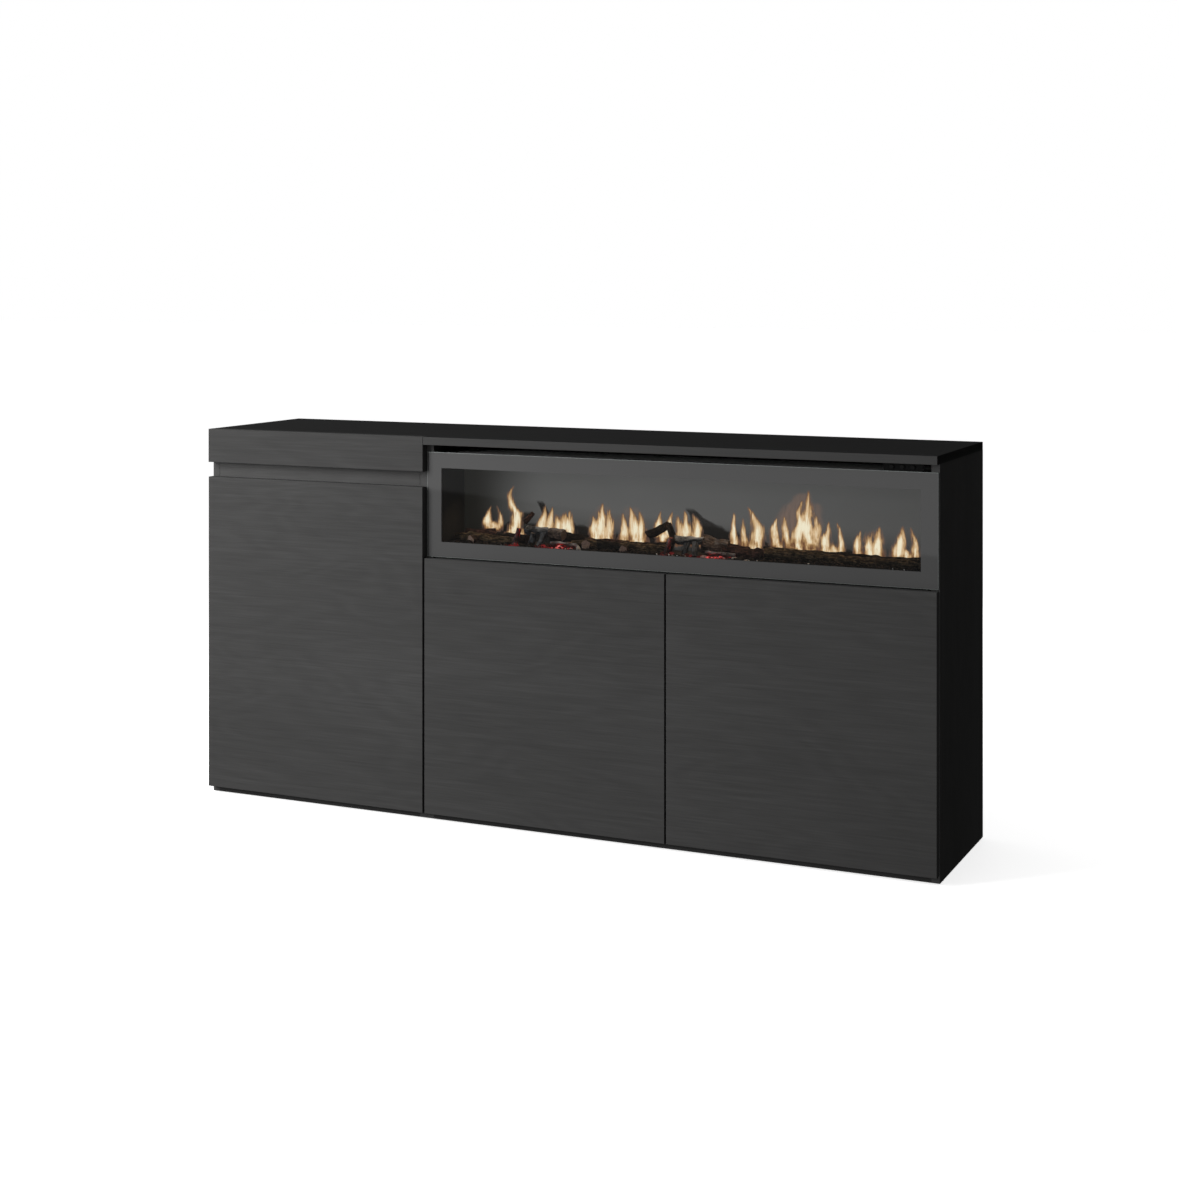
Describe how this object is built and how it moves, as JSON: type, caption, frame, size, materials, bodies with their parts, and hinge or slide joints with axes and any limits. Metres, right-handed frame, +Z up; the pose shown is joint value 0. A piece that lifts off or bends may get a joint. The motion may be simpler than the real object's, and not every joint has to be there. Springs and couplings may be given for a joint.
{
  "type": "electric fireplace",
  "caption": "Low dark sideboard with a built-in electric fireplace: a wide glass-fronted flame box over two doors, a tall door beside it.",
  "frame": {"origin": "on the floor, at the middle of the cabinet's footprint", "axes": "+X to the viewer's right along the cabinet's length, +Y from the front to the back, +Z up"},
  "size_m": [1.6, 0.355, 0.786],
  "materials": {
    "top_board": "dark melamine with wood grain along its length",
    "front_board": "dark melamine with level wood grain, matt",
    "side_board": "dark melamine with upright wood grain",
    "inner_board": "dark melamine with wood grain",
    "back_board": "thin dark hardboard",
    "fitting_steel": "nickel-plated, satin",
    "pin_steel": "bright",
    "cam_zinc": "zinc die cast",
    "glide_plastic": "moulded, matt",
    "latch_plastic": "moulded, matt",
    "plunger_plastic": "moulded, matt",
    "front_glass": "clear float glass, polished edges",
    "bezel_paint": "dark grey satin",
    "case_steel": "black powder coat",
    "liner_paint": "matt heat-proof black",
    "screen_acrylic": "smoked, carries the moving flame picture",
    "log_cast": "cast and painted as charred bark",
    "coal_resin": "clear red-brown resin, lit from below",
    "led_board": "white circuit board with lamps",
    "rotor_foil": "bright foil",
    "motor_steel": "zinc-plated",
    "bush_plastic": "natural nylon",
    "duct_steel": "galvanised sheet",
    "wheel_aluminium": "pressed sheet",
    "heater_fins": "corrugated fins",
    "grille_paint": "black powder coat",
    "panel_plastic": "fine texture",
    "button_plastic": "soft satin",
    "circuit_board": "solder-masked board with parts",
    "switch_plastic": "moulded",
    "rocker_plastic": "moulded, glossy",
    "gland_plastic": "moulded nylon"
  },
  "bodies": {
    "cabinet": {"blower_housing": "duct_steel", "blower_motor": "motor_steel", "cam_fittings": "cam_zinc", "centre_divider": "side_board", "control_board": "circuit_board", "control_panel": "panel_plastic", "ember_coals": "coal_resin", "ember_tray": "liner_paint", "fascia_board": "front_board", "firebox_liner": "liner_paint", "fireplace_case": "case_steel", "fireplace_deck": "inner_board", "flame_screen": "screen_acrylic", "floor_glides": "glide_plastic", "front_glass": "front_glass", "glass_bezel": "bezel_paint", "groove_rail": "inner_board", "heating_element": "heater_fins", "hinge_arms": "fitting_steel", "hinge_pins": "pin_steel", "hinge_plates": "fitting_steel", "inner_left_side_panel": "side_board", "inner_right_side_panel": "side_board", "latch_bodies": "latch_plastic", "led_boards": "led_board", "left_back_panel": "back_board", "left_bottom_panel": "inner_board", "left_shelf": "inner_board", "left_side_panel": "side_board", "log_set": "log_cast", "mains_gland": "gland_plastic", "middle_shelf": "inner_board", "module_bolts": "fitting_steel", "outlet_grille": "grille_paint", "plate_screws": "pin_steel", "power_board": "circuit_board", "right_back_panel": "back_board", "right_bottom_panel": "inner_board", "right_shelf": "inner_board", "right_side_panel": "side_board", "rotor_bush": "bush_plastic", "rotor_motor": "motor_steel", "shelf_pins": "fitting_steel", "switch_housing": "switch_plastic", "top_panel": "top_board"},
    "left_door": {"left_door": "front_board", "left_hinge_cups": "fitting_steel"},
    "middle_door": {"middle_door": "front_board", "middle_hinge_cups": "fitting_steel"},
    "right_door": {"right_door": "front_board", "right_hinge_cups": "fitting_steel"},
    "middle_latch_plunger": {"middle_latch_plunger": "plunger_plastic"},
    "right_latch_plunger": {"right_latch_plunger": "plunger_plastic"},
    "flame_rotor": {"flame_rotor": "rotor_foil"},
    "blower_wheel": {"blower_wheel": "wheel_aluminium"},
    "power_button": {"power_button": "button_plastic"},
    "flame_button": {"flame_button": "button_plastic"},
    "heat_button": {"heat_button": "button_plastic"},
    "power_rocker": {"power_rocker": "rocker_plastic"}
  },
  "joints": [
    {"name": "left_door_hinge", "type": "hinge", "parent": "cabinet", "child": "left_door", "pos_m": [-0.7925, -0.1705, 0.3495], "axis": [0, 0, -1], "range_deg": [0, 100]},
    {"name": "middle_door_hinge", "type": "hinge", "parent": "cabinet", "child": "middle_door", "pos_m": [-0.2605, -0.1705, 0.27675], "axis": [0, 0, -1], "range_deg": [0, 100]},
    {"name": "right_door_hinge", "type": "hinge", "parent": "cabinet", "child": "right_door", "pos_m": [0.792, -0.1705, 0.27675], "axis": [0, 0, 1], "range_deg": [0, 100]},
    {"name": "middle_latch_push", "type": "slide", "parent": "cabinet", "child": "middle_latch_plunger", "axis": [0, 1, 0], "range_m": [0, 0.0025], "stiffness_N_per_m": 1200},
    {"name": "right_latch_push", "type": "slide", "parent": "cabinet", "child": "right_latch_plunger", "axis": [0, 1, 0], "range_m": [0, 0.0025], "stiffness_N_per_m": 1200},
    {"name": "flame_rotor_spin", "type": "hinge", "parent": "cabinet", "child": "flame_rotor", "pos_m": [0.255, -0.0305, 0.604], "axis": [1, 0, 0], "continuous": true},
    {"name": "blower_spin", "type": "hinge", "parent": "cabinet", "child": "blower_wheel", "pos_m": [0.28, -0.0305, 0.727], "axis": [1, 0, 0], "continuous": true},
    {"name": "power_button_push", "type": "slide", "parent": "cabinet", "child": "power_button", "axis": [0, 1, 0], "range_m": [0, 0.0012], "stiffness_N_per_m": 900},
    {"name": "flame_button_push", "type": "slide", "parent": "cabinet", "child": "flame_button", "axis": [0, 1, 0], "range_m": [0, 0.0012], "stiffness_N_per_m": 900},
    {"name": "heat_button_push", "type": "slide", "parent": "cabinet", "child": "heat_button", "axis": [0, 1, 0], "range_m": [0, 0.0012], "stiffness_N_per_m": 900},
    {"name": "power_rocker_tilt", "type": "hinge", "parent": "cabinet", "child": "power_rocker", "pos_m": [0.69, -0.011, 0.64], "axis": [0, 0, 1], "range_deg": [-18, 0]}
  ]
}
